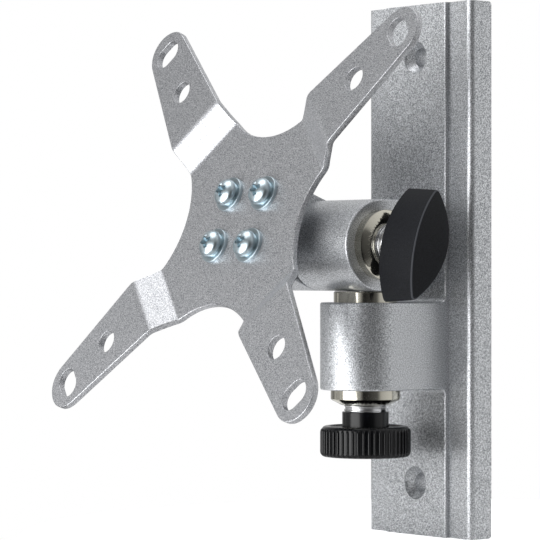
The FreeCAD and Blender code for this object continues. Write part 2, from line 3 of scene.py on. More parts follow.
import bmesh
import bpy
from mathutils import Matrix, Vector


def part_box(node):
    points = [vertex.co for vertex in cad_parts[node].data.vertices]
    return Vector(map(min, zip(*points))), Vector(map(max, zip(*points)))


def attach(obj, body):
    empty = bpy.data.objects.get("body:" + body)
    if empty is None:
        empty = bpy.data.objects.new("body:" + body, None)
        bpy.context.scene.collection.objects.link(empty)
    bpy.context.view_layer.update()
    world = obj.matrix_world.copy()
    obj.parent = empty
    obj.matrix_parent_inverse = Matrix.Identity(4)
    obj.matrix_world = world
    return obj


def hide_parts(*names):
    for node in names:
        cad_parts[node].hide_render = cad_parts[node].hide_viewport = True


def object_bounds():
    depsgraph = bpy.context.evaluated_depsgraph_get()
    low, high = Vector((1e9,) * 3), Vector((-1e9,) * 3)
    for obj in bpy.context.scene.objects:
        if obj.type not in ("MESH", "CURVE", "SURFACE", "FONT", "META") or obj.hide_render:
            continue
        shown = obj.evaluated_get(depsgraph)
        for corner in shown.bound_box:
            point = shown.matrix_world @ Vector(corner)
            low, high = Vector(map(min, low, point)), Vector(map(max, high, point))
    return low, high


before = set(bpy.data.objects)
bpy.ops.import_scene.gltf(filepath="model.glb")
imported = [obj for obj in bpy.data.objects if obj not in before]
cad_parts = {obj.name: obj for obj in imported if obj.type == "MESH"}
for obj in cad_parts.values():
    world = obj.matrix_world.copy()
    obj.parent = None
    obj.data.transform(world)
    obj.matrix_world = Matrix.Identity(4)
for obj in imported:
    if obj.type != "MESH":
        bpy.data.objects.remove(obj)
cad_low, cad_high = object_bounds()
MM = 0.001


# The camera looks at the mount from its right front, level with the middle of the wall plate,
# through a long lens. Its place is given from the origin: to the side, and back from it.
quarter_turn = math.radians(90)
camera_azimuth = math.radians(51.14)
camera_side = -46.6 * MM
camera_distance = 778.5 * MM
camera_lens = 188.2
camera_sensor_width = 36
nearest_view = 0.01
farthest_view = 20
to_right = Vector((math.cos(camera_azimuth), math.sin(camera_azimuth), 0))
to_camera = Vector((math.sin(camera_azimuth), -math.cos(camera_azimuth), 0))
camera = bpy.data.objects.new("camera", bpy.data.cameras.new("camera"))
bpy.context.scene.collection.objects.link(camera)
bpy.context.scene.camera = camera
camera.location = to_right * camera_side + to_camera * camera_distance
camera.rotation_euler = (quarter_turn, 0, camera_azimuth)
camera.data.sensor_width = camera_sensor_width
camera.data.lens = camera_lens
camera.data.clip_start = nearest_view
camera.data.clip_end = farthest_view


# The studio is a room that is pale behind and above the mount. A dark curtain hangs where the
# photographer works and gives turned metal its dark bands. A wide soft box with a faint halo
# stands in front, a small one below it at the left, one hangs above, and a screen at the left.
pale_side = (0.152, 0.834, 0.53)
dark_side = (0.906, -0.423, 0.0)
front_side = (-0.04, -0.99, -0.12)
room_darkest = 0.02
room_palest = 1.06
light_past_curtain = 0.25
halo_strength = 1.0


def linear(hex_colour):
    """The linear values of an sRGB hex colour, with full alpha."""
    channels = [int(hex_colour[i:i + 2], 16) / 255 for i in (1, 3, 5)]
    return [c / 12.92 if c <= 0.04045 else ((c + 0.055) / 1.055) ** 2.4 for c in channels] + [1.0]


def add_node(tree, kind, inputs=None, **settings):
    """Adds a node. Each input, by its name or number, gets a value or another node's output."""
    node = tree.nodes.new(kind)
    for name, value in settings.items():
        setattr(node, name, value)
    for name, value in (inputs or {}).items():
        if isinstance(value, bpy.types.NodeSocket):
            tree.links.new(value, node.inputs[name])
        else:
            node.inputs[name].default_value = value
    return node


bpy.context.scene.view_settings.view_transform = "Standard"
world = bpy.data.worlds.new("studio")
bpy.context.scene.world = world
world.use_nodes = True
tree = world.node_tree
tree.nodes.clear()
toward = add_node(tree, "ShaderNodeTexCoord").outputs["Generated"]
behind = add_node(tree, "ShaderNodeVectorMath", {0: toward, 1: pale_side}, operation="DOT_PRODUCT")
walls = add_node(tree, "ShaderNodeMapRange", {
    "Value": behind.outputs["Value"], "From Min": -0.6, "From Max": 1.0,
    "To Min": room_darkest, "To Max": room_palest})
beside = add_node(tree, "ShaderNodeVectorMath", {0: toward, 1: dark_side}, operation="DOT_PRODUCT")
curtain = add_node(tree, "ShaderNodeMapRange", {
    "Value": beside.outputs["Value"], "From Min": 0.80, "From Max": 0.90,
    "To Min": 1.0, "To Max": light_past_curtain})
ahead = add_node(tree, "ShaderNodeVectorMath", {0: toward, 1: front_side}, operation="DOT_PRODUCT")
halo = add_node(tree, "ShaderNodeMapRange", {
    "Value": ahead.outputs["Value"], "From Min": 0.70, "From Max": 0.97,
    "To Min": 0.0, "To Max": halo_strength}, interpolation_type="SMOOTHSTEP")
shaded = add_node(tree, "ShaderNodeMath", {0: walls.outputs[0], 1: curtain.outputs[0]},
                  operation="MULTIPLY")
brightness = add_node(tree, "ShaderNodeMath", {0: shaded.outputs[0], 1: halo.outputs[0]},
                      operation="ADD")
room = add_node(tree, "ShaderNodeBackground", {
    "Color": linear("#FFFFFF"), "Strength": brightness.outputs[0]})
white_wall = add_node(tree, "ShaderNodeBackground", {"Color": linear("#FFFFFF"), "Strength": 1.0})
seen = add_node(tree, "ShaderNodeLightPath")
backdrop = add_node(tree, "ShaderNodeMixShader", {
    0: seen.outputs["Is Camera Ray"], 1: room.outputs[0], 2: white_wall.outputs[0]})
add_node(tree, "ShaderNodeOutputWorld", {"Surface": backdrop.outputs[0]})


def soft_box(name, direction, distance, width, height, watts):
    """A soft box that faces the middle of the mount."""
    lamp = bpy.data.lights.new(name, "AREA")
    lamp.shape = "RECTANGLE"
    lamp.size = width
    lamp.size_y = height
    lamp.energy = watts
    box = bpy.data.objects.new(name, lamp)
    middle = (cad_low + cad_high) / 2
    box.location = middle + Vector(direction).normalized() * distance
    box.rotation_mode = "QUATERNION"
    box.rotation_quaternion = (middle - box.location).to_track_quat("-Z", "Y")
    bpy.context.scene.collection.objects.link(box)
    box.visible_camera = False


soft_box("front_box", front_side, distance=0.7, width=0.66, height=0.64, watts=4.7)
soft_box("top_box", (-0.22, -0.28, 0.93), distance=0.7, width=0.50, height=0.50, watts=1.9)
soft_box("left_screen", (-0.83, -0.55, -0.05), distance=0.8, width=0.55, height=0.70, watts=0.6)
soft_box("low_box", (-0.36, -0.80, -0.46), distance=0.7, width=0.30, height=0.24, watts=1.6)


# A small disc of white paper lies under the mount. It is lit on its own, so that the camera sees
# it as white as the backdrop while it gives the underside of the mount only a little light.
floor_radius = 0.115
floor_sides = 96
glow_on_mount = 0.10
glow_for_camera = 0.8
floor_mesh = bpy.data.meshes.new("floor")
shape = bmesh.new()
bmesh.ops.create_circle(shape, cap_ends=True, segments=floor_sides, radius=floor_radius)
bmesh.ops.translate(shape, verts=shape.verts, vec=(0, 0, cad_low.z))
shape.to_mesh(floor_mesh)
shape.free()
floor = bpy.data.objects.new("floor", floor_mesh)
bpy.context.scene.collection.objects.link(floor)
floor_paper = bpy.data.materials.new("lit_white_paper")
floor_paper.use_nodes = True
tree = floor_paper.node_tree
paper_surface = tree.nodes["Principled BSDF"]
paper_surface.inputs["Base Color"].default_value = linear("#F6F6F6")
paper_surface.inputs["Roughness"].default_value = 0.9
paper_surface.inputs["Emission Color"].default_value = linear("#FFFFFF")
seen = add_node(tree, "ShaderNodeLightPath")
glow = add_node(tree, "ShaderNodeMapRange", {
    "Value": seen.outputs["Is Camera Ray"], "To Min": glow_on_mount, "To Max": glow_for_camera})
tree.links.new(glow.outputs[0], paper_surface.inputs["Emission Strength"])
floor_mesh.materials.append(floor_paper)


# The wall plate is one aluminium casting with its ridge and bracket, powder coated silver. The
# grain of the coat is drawn a quarter of a millimetre wide, coarser than real, so that it shows.
# Its flakes lean every way, so a highlight breaks up into specks at its edges.
merge_distance = 0.0005 * MM
level_angle = math.radians(0.2)
grain_width = 0.24 * MM
grain_darkest = 0.32
grain_palest = 0.68


def start_material(name):
    """An empty material with its node tree and the object's own coordinates."""
    material = bpy.data.materials.new(name)
    material.use_nodes = True
    material.node_tree.nodes.clear()
    place = add_node(material.node_tree, "ShaderNodeTexCoord").outputs["Object"]
    return material, material.node_tree, place


def smooth_by_angle(mesh, sharp_angle):
    """Smooth shading, but for the edges that turn by more than the angle."""
    for polygon in mesh.polygons:
        polygon.use_smooth = True
    mesh.set_sharp_from_angle(angle=math.radians(sharp_angle))


def smooth_copy(node, name, sharp_angle=32):
    """A copy of a CAD node as one joined skin, smooth but for its sharp edges."""
    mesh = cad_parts[node].data.copy()
    mesh.name = name
    shape = bmesh.new()
    shape.from_mesh(mesh)
    bmesh.ops.remove_doubles(shape, verts=shape.verts, dist=merge_distance)
    bmesh.ops.dissolve_limit(shape, angle_limit=level_angle, verts=shape.verts, edges=shape.edges)
    shape.to_mesh(mesh)
    shape.free()
    smooth_by_angle(mesh, sharp_angle)
    piece = bpy.data.objects.new(name, mesh)
    bpy.context.scene.collection.objects.link(piece)
    level = piece.modifiers.new("level", "WEIGHTED_NORMAL")
    level.keep_sharp = True
    return piece


def finish_piece(piece, nodes, body, material):
    """Gives a piece its material, hangs it on the body it rides on, and hides the CAD nodes it stands for."""
    piece.data.materials.clear()
    piece.data.materials.append(material)
    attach(piece, body)
    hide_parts(*nodes)


def powder_coat(name, dark, pale, grain_depth):
    """Silver powder coat over a metal, with flakes that are dark or pale as they lie."""
    material, tree, place = start_material(name)
    grain = add_node(tree, "ShaderNodeTexNoise", {
        "Vector": place, "Scale": 1 / grain_width, "Detail": 0.0})
    spread = add_node(tree, "ShaderNodeMapRange", {
        "Value": grain.outputs["Fac"], "From Min": grain_darkest, "From Max": grain_palest})
    flakes = add_node(tree, "ShaderNodeMix", {
        0: spread.outputs[0], 6: linear(dark), 7: linear(pale)}, data_type="RGBA")
    relief = add_node(tree, "ShaderNodeBump", {
        "Height": grain.outputs["Fac"], "Strength": 0.6, "Distance": grain_depth})
    surface = add_node(tree, "ShaderNodeBsdfPrincipled", {
        "Base Color": flakes.outputs[2], "Metallic": 0.74, "Roughness": 0.38,
        "Normal": relief.outputs[0]})
    add_node(tree, "ShaderNodeOutputMaterial", {"Surface": surface.outputs[0]})
    return material


cast_coat = powder_coat("silver_powder_coat_on_casting", "#878A8E", "#E1E3E6", 0.02 * MM)
wall_plate = smooth_copy("wall_plate", "wall_plate_coated")
finish_piece(wall_plate, ["wall_plate"], "wall_bracket", cast_coat)


# The swivel block and the head block are cast of the same aluminium as the wall plate, and coated
# like it. The tilt shaft joins them.
for node, body in (("swivel_block", "swivel"), ("head_block", "head")):
    finish_piece(smooth_copy(node, node + "_coated"), [node], body, cast_coat)


# The cross plate is pressed from 2 mm steel sheet, joggled in the same stroke, and coated silver
# like the castings. The coat rounds the rims of its punched holes.
hole_rim_radius = 0.3 * MM
hole_rim_angle = 60
edge_steps = 3


def round_edges(piece, name, radius, edge_angle):
    """Rounds the edges that turn by more than the angle, and keeps the faces beside them level."""
    edge = piece.modifiers.new(name, "BEVEL")
    edge.width = radius
    edge.segments = edge_steps
    edge.limit_method = "ANGLE"
    edge.angle_limit = math.radians(edge_angle)
    edge.face_strength_mode = "FSTR_AFFECTED"
    piece.modifiers.move(1, 0)
    piece.modifiers["level"].use_face_influence = True


sheet_coat = powder_coat("silver_powder_coat_on_sheet", "#838589", "#CACBCE", 0.03 * MM)
cross_plate = smooth_copy("cross_plate", "cross_plate_coated", sharp_angle=50)
round_edges(cross_plate, "rim", hole_rim_radius, hole_rim_angle)
finish_piece(cross_plate, ["cross_plate"], "head", sheet_coat)


# The two bushes and the two collars are turned brass, bright nickel plated. Plating leaves a warm
# mirror with the fine rings of the turning tool still in it.
nickel_colour = "#C1BEB2"
nickel_roughness = 0.13
nickel_ring_width = 0.15 * MM
nickel_ring_depth = 0.012 * MM
shiny_ring = 0.3
dull_ring = 0.7
least_roughness = 0.7
most_roughness = 1.3


def turned_metal(name, colour, roughness, ring_width, ring_depth, axis_point, lies_flat):
    """A metal turned about an upright axis, or about one that lies flat from side to side."""
    material, tree, place = start_material(name)
    turn = (0, quarter_turn, 0) if lies_flat else (0, 0, 0)
    centred = add_node(tree, "ShaderNodeVectorMath", {0: place, 1: axis_point}, operation="SUBTRACT")
    upright = add_node(tree, "ShaderNodeMapping", {"Vector": centred.outputs[0], "Rotation": turn})
    parts = add_node(tree, "ShaderNodeSeparateXYZ", {"Vector": upright.outputs[0]})
    flat = add_node(tree, "ShaderNodeCombineXYZ", {"X": parts.outputs["X"], "Y": parts.outputs["Y"]})
    radius = add_node(tree, "ShaderNodeVectorMath", {0: flat.outputs[0]}, operation="LENGTH")
    rings_place = add_node(tree, "ShaderNodeCombineXYZ", {
        "X": radius.outputs["Value"], "Y": parts.outputs["Z"]})
    rings = add_node(tree, "ShaderNodeTexNoise", {
        "Vector": rings_place.outputs[0], "Scale": 1 / ring_width, "Detail": 1.0})
    gloss = add_node(tree, "ShaderNodeMapRange", {
        "Value": rings.outputs["Fac"], "From Min": shiny_ring, "From Max": dull_ring,
        "To Min": roughness * least_roughness, "To Max": roughness * most_roughness})
    marks = add_node(tree, "ShaderNodeBump", {
        "Height": rings.outputs["Fac"], "Strength": 0.4, "Distance": ring_depth})
    surface = add_node(tree, "ShaderNodeBsdfPrincipled", {
        "Base Color": linear(colour), "Metallic": 1.0, "Roughness": gloss.outputs[0],
        "Normal": marks.outputs[0]})
    add_node(tree, "ShaderNodeOutputMaterial", {"Surface": surface.outputs[0]})
    return material


def middle_of(node):
    """The middle of a CAD node's box."""
    low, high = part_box(node)
    return (low + high) / 2


post_axis = middle_of("bracket_collar")
tilt_axis = middle_of("tilt_collar")
nickel_look = (nickel_colour, nickel_roughness, nickel_ring_width, nickel_ring_depth)
upright_nickel = turned_metal("nickel_plate_on_upright_parts", *nickel_look, post_axis, lies_flat=False)
level_nickel = turned_metal("nickel_plate_on_level_parts", *nickel_look, tilt_axis, lies_flat=True)
for node, body, nickel in (("bracket_bush", "wall_bracket", upright_nickel),
                           ("bracket_collar", "wall_bracket", upright_nickel),
                           ("tilt_bush", "swivel", level_nickel),
                           ("tilt_collar", "swivel", level_nickel)):
    finish_piece(smooth_copy(node, node + "_plated"), [node], body, nickel)


# The post and the tilt shaft are inside, turned from free-cutting steel and left bare. The clamps
# press on them through the friction pads.
steel_colour = "#C9CACC"
steel_roughness = 0.24
steel_ring_width = 0.12 * MM
steel_ring_depth = 0.006 * MM
steel_look = (steel_colour, steel_roughness, steel_ring_width, steel_ring_depth)
upright_steel = turned_metal("turned_steel_on_upright_parts", *steel_look, post_axis, lies_flat=False)
level_steel = turned_metal("turned_steel_on_level_parts", *steel_look, tilt_axis, lies_flat=True)
for node, body, steel in (("swivel_post", "swivel", upright_steel), ("tilt_shaft", "head", level_steel)):
    finish_piece(smooth_copy(node, node + "_turned"), [node], body, steel)


# The nut on the tilt shaft and its washer are steel, bright zinc plated with a blue passivation,
# which leaves a faint cloudiness in the gloss.
zinc_grain = 0.5 * MM
zinc_plate, tree, place = start_material("bright_zinc_plate")
mottle = add_node(tree, "ShaderNodeTexNoise", {
    "Vector": place, "Scale": 1 / zinc_grain, "Detail": 2.0})
gloss = add_node(tree, "ShaderNodeMapRange", {
    "Value": mottle.outputs["Fac"], "To Min": 0.24, "To Max": 0.38})
tint = add_node(tree, "ShaderNodeMix", {
    0: mottle.outputs["Fac"], 6: linear("#A3B6BF"), 7: linear("#C4CDD1")}, data_type="RGBA")
surface = add_node(tree, "ShaderNodeBsdfPrincipled", {
    "Base Color": tint.outputs[2], "Metallic": 1.0, "Roughness": gloss.outputs[0]})
add_node(tree, "ShaderNodeOutputMaterial", {"Surface": surface.outputs[0]})
for node in ("tilt_nut", "tilt_nut_washer"):
    finish_piece(smooth_copy(node, node + "_plated"), [node], "head", zinc_plate)


# The set screw that locks the post in the swivel block is hardened steel with a black oxide skin,
# dark and a little uneven in its gloss.
oxide_grain = 0.2 * MM
black_oxide, tree, place = start_material("black_oxide_steel")
mottle = add_node(tree, "ShaderNodeTexNoise", {"Vector": place, "Scale": 1 / oxide_grain})
gloss = add_node(tree, "ShaderNodeMapRange", {
    "Value": mottle.outputs["Fac"], "To Min": 0.35, "To Max": 0.55})
surface = add_node(tree, "ShaderNodeBsdfPrincipled", {
    "Base Color": linear("#26272A"), "Metallic": 0.8, "Roughness": gloss.outputs[0]})
add_node(tree, "ShaderNodeOutputMaterial", {"Surface": surface.outputs[0]})
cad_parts["post_set_screw"].material_slots[0].material = black_oxide


# The two pads that the clamps press on, and the washer between the blocks, are white acetal,
# turned from bar and smooth to the touch.
acetal_grain = 0.15 * MM
acetal, tree, place = start_material("white_acetal")
mottle = add_node(tree, "ShaderNodeTexNoise", {"Vector": place, "Scale": 1 / acetal_grain})
relief = add_node(tree, "ShaderNodeBump", {
    "Height": mottle.outputs["Fac"], "Strength": 0.2, "Distance": 0.01 * MM})
surface = add_node(tree, "ShaderNodeBsdfPrincipled", {
    "Base Color": linear("#E6E3DA"), "Roughness": 0.45, "Normal": relief.outputs[0]})
add_node(tree, "ShaderNodeOutputMaterial", {"Surface": surface.outputs[0]})
for node in ("swivel_friction_pad", "tilt_friction_pad", "friction_washer"):
    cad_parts[node].material_slots[0].material = acetal


# Four pan-head screws, each with a flat and a lock washer, hold the cross plate to the head block,
# in a small square. They are zinc plated like the nut, and look blue inside the cross recess.
screw_head_radius = 3.8
screw_head_height = 2.5
screw_rim_height = 0.45
screw_rim_round = 0.2
screw_shank_radius = 2.0
screw_end_round = 0.3
screw_length = 9.3
screw_sides = 72
dome_steps = 12
recess_depth = 1.6
recess_top = (4.6, 1.3)
recess_bottom = (2.0, 0.7)
recess_turn = math.radians(24)
recess_overrun = 0.05
washer_radius = 4.9
washer_hole_radius = 2.05
washer_thickness = 1.0
washer_edge_round = 0.18
washer_foot_round = 0.1
washer_sides = 96
lock_washer_radius = 3.45
lock_washer_thickness = 0.7
lock_washer_edge_round = 0.1


def softened(corners, steps=5):
    """The corners (across, along, radius) of an outline as points, each radius as a short arc."""
    points = []
    for i, (across, along, radius) in enumerate(corners):
        corner = Vector((across, along))
        if radius == 0:
            points.append(corner)
            continue
        before = (Vector(corners[i - 1][:2]) - corner).normalized()
        after = (Vector(corners[(i + 1) % len(corners)][:2]) - corner).normalized()
        half_angle = before.angle(after) / 2
        centre = corner + (before + after).normalized() * (radius / math.sin(half_angle))
        first = corner + before * (radius / math.tan(half_angle)) - centre
        last = corner + after * (radius / math.tan(half_angle)) - centre
        start = math.atan2(first.y, first.x)
        sweep = math.remainder(math.atan2(last.y, last.x) - start, 2 * math.pi)
        for step in range(steps + 1):
            angle = start + sweep * step / steps
            points.append(centre + Vector((math.cos(angle), math.sin(angle))) * radius)
    return points


def new_piece(name, shape):
    """An object made of a finished bmesh shape."""
    mesh = bpy.data.meshes.new(name)
    shape.to_mesh(mesh)
    shape.free()
    piece = bpy.data.objects.new(name, mesh)
    bpy.context.scene.collection.objects.link(piece)
    return piece


def turned_body(name, points, sides):
    """A body turned about the upright axis. The points are (radius, height) in millimetres."""
    shape = bmesh.new()
    angles = [2 * math.pi * i / sides for i in range(sides)]
    rings = []
    for radius, height in points:
        if radius == 0:
            rings.append([shape.verts.new((0, 0, height * MM))])
        else:
            rings.append([shape.verts.new((radius * math.cos(a) * MM, radius * math.sin(a) * MM, height * MM))
                          for a in angles])
    for low, high in zip(rings, rings[1:] + rings[:1]):
        for i in range(sides):
            corners = [low[i % len(low)], low[(i + 1) % len(low)],
                       high[(i + 1) % len(high)], high[i % len(high)]]
            corners = list(dict.fromkeys(corners))
            if len(corners) > 2:
                shape.faces.new(corners)
    bmesh.ops.recalc_face_normals(shape, faces=shape.faces)
    return new_piece(name, shape)


def recess_blade(name, turn):
    """A tapered blade, one half of the cross that the driver's tip leaves."""
    shape = bmesh.new()
    levels = []
    for (span, width), height in ((recess_bottom, screw_head_height - recess_depth),
                                  (recess_top, screw_head_height + recess_overrun)):
        levels.append([shape.verts.new((x * span / 2 * MM, y * width / 2 * MM, height * MM))
                       for x, y in ((-1, -1), (1, -1), (1, 1), (-1, 1))])
    shape.faces.new(levels[0])
    shape.faces.new(levels[1])
    for i in range(4):
        j = (i + 1) % 4
        shape.faces.new((levels[0][i], levels[0][j], levels[1][j], levels[1][i]))
    bmesh.ops.recalc_face_normals(shape, faces=shape.faces)
    for vertex in shape.verts:
        x, y, z = vertex.co
        vertex.co = (x * math.cos(turn) - y * math.sin(turn), x * math.sin(turn) + y * math.cos(turn), z)
    return new_piece(name, shape)


def start_geometry(name, inputs):
    """A Geometry Nodes tree with named inputs, and the outputs of its input node."""
    kinds = {int: "NodeSocketInt", float: "NodeSocketFloat", tuple: "NodeSocketVector"}
    tree = bpy.data.node_groups.new(name, "GeometryNodeTree")
    tree.interface.new_socket("Geometry", in_out="INPUT", socket_type="NodeSocketGeometry")
    for label, value in inputs.items():
        kind = kinds.get(type(value), "NodeSocketMaterial")
        socket = tree.interface.new_socket(label, in_out="INPUT", socket_type=kind)
        socket.default_value = value
    tree.interface.new_socket("Geometry", in_out="OUTPUT", socket_type="NodeSocketGeometry")
    return tree, tree.nodes.new("NodeGroupInput").outputs


def end_geometry(tree, shape, material):
    """Closes a tree: real geometry in place of instances, in the one material."""
    real = add_node(tree, "GeometryNodeRealizeInstances", {"Geometry": shape})
    painted = add_node(tree, "GeometryNodeSetMaterial", {"Geometry": real.outputs[0], "Material": material})
    add_node(tree, "NodeGroupOutput", {"Geometry": painted.outputs[0]})


def keep_result(piece):
    """Makes what a piece's modifiers give its plain mesh, and removes them."""
    ready = piece.evaluated_get(bpy.context.evaluated_depsgraph_get())
    mesh = bpy.data.meshes.new_from_object(ready)
    piece.modifiers.clear()
    piece.data = mesh


def run_geometry(piece, tree, inputs, sharp_angle):
    """Runs a tree on a piece with these inputs and keeps what comes out as its plain mesh."""
    build = piece.modifiers.new("build", "NODES")
    build.node_group = tree
    for socket in tree.interface.items_tree:
        if socket.in_out == "INPUT" and socket.name in inputs:
            build[socket.identifier] = inputs[socket.name]
    keep_result(piece)
    smooth_by_angle(piece.data, sharp_angle)


dome_height = screw_head_height - screw_rim_height
dome = []
for step in range(dome_steps + 1):
    angle = quarter_turn * step / dome_steps
    radius = screw_head_radius * math.cos(angle) if step < dome_steps else 0
    dome.append((radius, screw_rim_height + dome_height * math.sin(angle)))
foot = softened([
    (0, -screw_length, 0),
    (screw_shank_radius, -screw_length, screw_end_round),
    (screw_shank_radius, 0, 0),
    (screw_head_radius, 0, screw_rim_round),
    (screw_head_radius, screw_rim_height, 0)])
screw_outline = [tuple(point) for point in foot[:-1]] + dome
head_screws = turned_body("head_screws_plated", screw_outline, screw_sides)
for name, turn in (("recess_along", recess_turn), ("recess_across", recess_turn + quarter_turn)):
    blade = recess_blade(name, turn)
    cut = head_screws.modifiers.new("recess", "BOOLEAN")
    cut.operation = "DIFFERENCE"
    cut.object = blade
    keep_result(head_screws)
    bpy.data.objects.remove(blade)

stack_height = washer_thickness + lock_washer_thickness
stack_outline = softened([
    (washer_hole_radius, 0, 0),
    (washer_radius, 0, washer_foot_round),
    (washer_radius, washer_thickness, washer_edge_round),
    (lock_washer_radius, washer_thickness, 0),
    (lock_washer_radius, stack_height, lock_washer_edge_round),
    (washer_hole_radius, stack_height, 0)])
head_washers = turned_body("head_washers_plated", [tuple(point) for point in stack_outline], washer_sides)

places = ("top_left", "top_right", "bottom_left", "bottom_right")
top_left, top_right, bottom_left, bottom_right = [middle_of("head_washer_" + name) for name in places]
spacing = (top_right - top_left).length
washer_centre = (top_left + bottom_right) / 2
plate_up = (top_left - bottom_left).normalized()
outward = Vector((1, 0, 0)).cross(plate_up)
lean = math.atan2(-outward.y, outward.z)
plate_front = washer_centre - outward * washer_thickness / 2 * MM

screw_square, sizes = start_geometry("fixings_in_a_square", {
    "Spacing": spacing, "Centre": (0.0, 0.0, 0.0), "Lean": (0.0, 0.0, 0.0), "Material": zinc_plate})
corners = add_node(screw_square, "GeometryNodeMeshGrid", {
    "Size X": sizes["Spacing"], "Size Y": sizes["Spacing"], "Vertices X": 2, "Vertices Y": 2})
fixings = add_node(screw_square, "GeometryNodeInstanceOnPoints", {
    "Points": corners.outputs["Mesh"], "Instance": sizes["Geometry"]})
placed = add_node(screw_square, "GeometryNodeTransform", {
    "Geometry": fixings.outputs[0], "Translation": sizes["Centre"], "Rotation": sizes["Lean"]})
end_geometry(screw_square, placed.outputs[0], sizes["Material"])
for piece, kind, height in ((head_washers, "head_washer_", 0), (head_screws, "head_screw_", stack_height)):
    run_geometry(piece, screw_square, {
        "Spacing": spacing, "Centre": plate_front + outward * height * MM,
        "Lean": Vector((lean, 0, 0)), "Material": zinc_plate}, sharp_angle=40)
    finish_piece(piece, [kind + name for name in places], "head", zinc_plate)


# Each knob has a threaded steel stud moulded in. The thread shows between the knob and its collar,
# a fine pitch of 1.25 mm, rolled, so that its crests are round and bright.
thread_pitch = 1.25
thread_core_radius = 5.5
thread_crest_radius = 0.3
steps_in_a_turn = 48
crest_sides = 10
stud_thread, sizes = start_geometry("rolled_thread", {
    "Turns": 1.0, "Length": thread_pitch * MM, "Radius": thread_core_radius * MM,
    "Crest": thread_crest_radius * MM, "Start": (0.0, 0.0, 0.0), "Turned": (0.0, 0.0, 0.0),
    "Material": upright_steel})
helix = add_node(stud_thread, "GeometryNodeCurveSpiral", {
    "Resolution": steps_in_a_turn, "Rotations": sizes["Turns"], "Start Radius": sizes["Radius"],
    "End Radius": sizes["Radius"], "Height": sizes["Length"]})
crest = add_node(stud_thread, "GeometryNodeCurvePrimitiveCircle", {
    "Resolution": crest_sides, "Radius": sizes["Crest"]})
ridge = add_node(stud_thread, "GeometryNodeCurveToMesh", {
    "Curve": helix.outputs[0], "Profile Curve": crest.outputs[0], "Fill Caps": True})
set_on = add_node(stud_thread, "GeometryNodeTransform", {
    "Geometry": ridge.outputs[0], "Translation": sizes["Start"], "Rotation": sizes["Turned"]})
threaded = add_node(stud_thread, "GeometryNodeJoinGeometry")
stud_thread.links.new(sizes["Geometry"], threaded.inputs[0])
stud_thread.links.new(set_on.outputs[0], threaded.inputs[0])
end_geometry(stud_thread, threaded.outputs[0], sizes["Material"])


def threaded_stud(node, body, steel, start, length, turned):
    """A stud with its thread, which begins at a point and runs along the turned upright axis."""
    stud = smooth_copy(node, node + "_threaded")
    stud.modifiers.clear()
    run_geometry(stud, stud_thread, {
        "Turns": length / (thread_pitch * MM), "Length": length, "Radius": thread_core_radius * MM,
        "Crest": thread_crest_radius * MM, "Start": start, "Turned": turned, "Material": steel},
        sharp_angle=50)
    finish_piece(stud, [node], body, steel)


knob_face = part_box("clamp_knob")[1].z
clamp_stud_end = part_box("clamp_stud")[1].z
threaded_stud("clamp_stud", "clamp_handle", upright_steel,
              start=Vector((post_axis.x, post_axis.y, knob_face)),
              length=clamp_stud_end - knob_face - thread_pitch * MM, turned=Vector((0, 0, 0)))

wing_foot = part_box("wing_knob")[0].x
wing_stud_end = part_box("wing_stud")[0].x
wing_thread_length = wing_foot - wing_stud_end - thread_pitch * MM
threaded_stud("wing_stud", "wing_handle", level_steel,
              start=Vector((wing_foot - wing_thread_length, tilt_axis.y, tilt_axis.z)),
              length=wing_thread_length, turned=Vector((0, quarter_turn, 0)))


# The clamp knob is moulded in black nylon round its stud. Fifty round ribs stand on its rim and
# run out in the rounding of the top edge. A shallow dish lies round the glossy neck.
knob_rib_count = 50
knob_rib_radius = 0.42
knob_rib_sides = 12
knob_root_radius = 11.82
knob_top_round = 1.1
knob_bottom_round = 1.0
knob_height = 8.3
knob_sides = 3 * knob_rib_count
neck_height = 12.1
neck_radius = 6.3
neck_edge_round = 0.15
dish_radius = 10.25
dish_depth = 0.7
dish_edge_round = 0.12
dish_floor_round = 0.3
rib_run_out = 0.7
rib_end_inset = 0.1
rib_corner_steps = 5
rib_bottom = knob_rib_radius
rib_top = knob_height - knob_top_round * rib_run_out
rib_end_round = knob_bottom_round - rib_end_inset
nylon_grain = 0.12 * MM
black_nylon, tree, place = start_material("black_moulded_nylon")
mottle = add_node(tree, "ShaderNodeTexNoise", {
    "Vector": place, "Scale": 1 / nylon_grain, "Detail": 1.0})
relief = add_node(tree, "ShaderNodeBump", {
    "Height": mottle.outputs["Fac"], "Strength": 0.15, "Distance": 0.01 * MM})
surface = add_node(tree, "ShaderNodeBsdfPrincipled", {
    "Base Color": linear("#040508"), "Roughness": 0.21, "Specular IOR Level": 0.32,
    "Normal": relief.outputs[0]})
add_node(tree, "ShaderNodeOutputMaterial", {"Surface": surface.outputs[0]})

dish_floor = knob_height - dish_depth
knob_outline = softened([
    (0, 0, 0),
    (knob_root_radius, 0, knob_bottom_round),
    (knob_root_radius, knob_height, knob_top_round),
    (dish_radius, knob_height, dish_edge_round),
    (dish_radius - dish_depth, dish_floor, dish_floor_round),
    (neck_radius, dish_floor, dish_floor_round),
    (neck_radius, neck_height, neck_edge_round),
    (thread_core_radius, neck_height, 0),
    (thread_core_radius, knob_height, 0),
    (0, knob_height, 0)], steps=6)
clamp_knob = turned_body("clamp_knob_moulded", [tuple(point) for point in knob_outline], knob_sides)

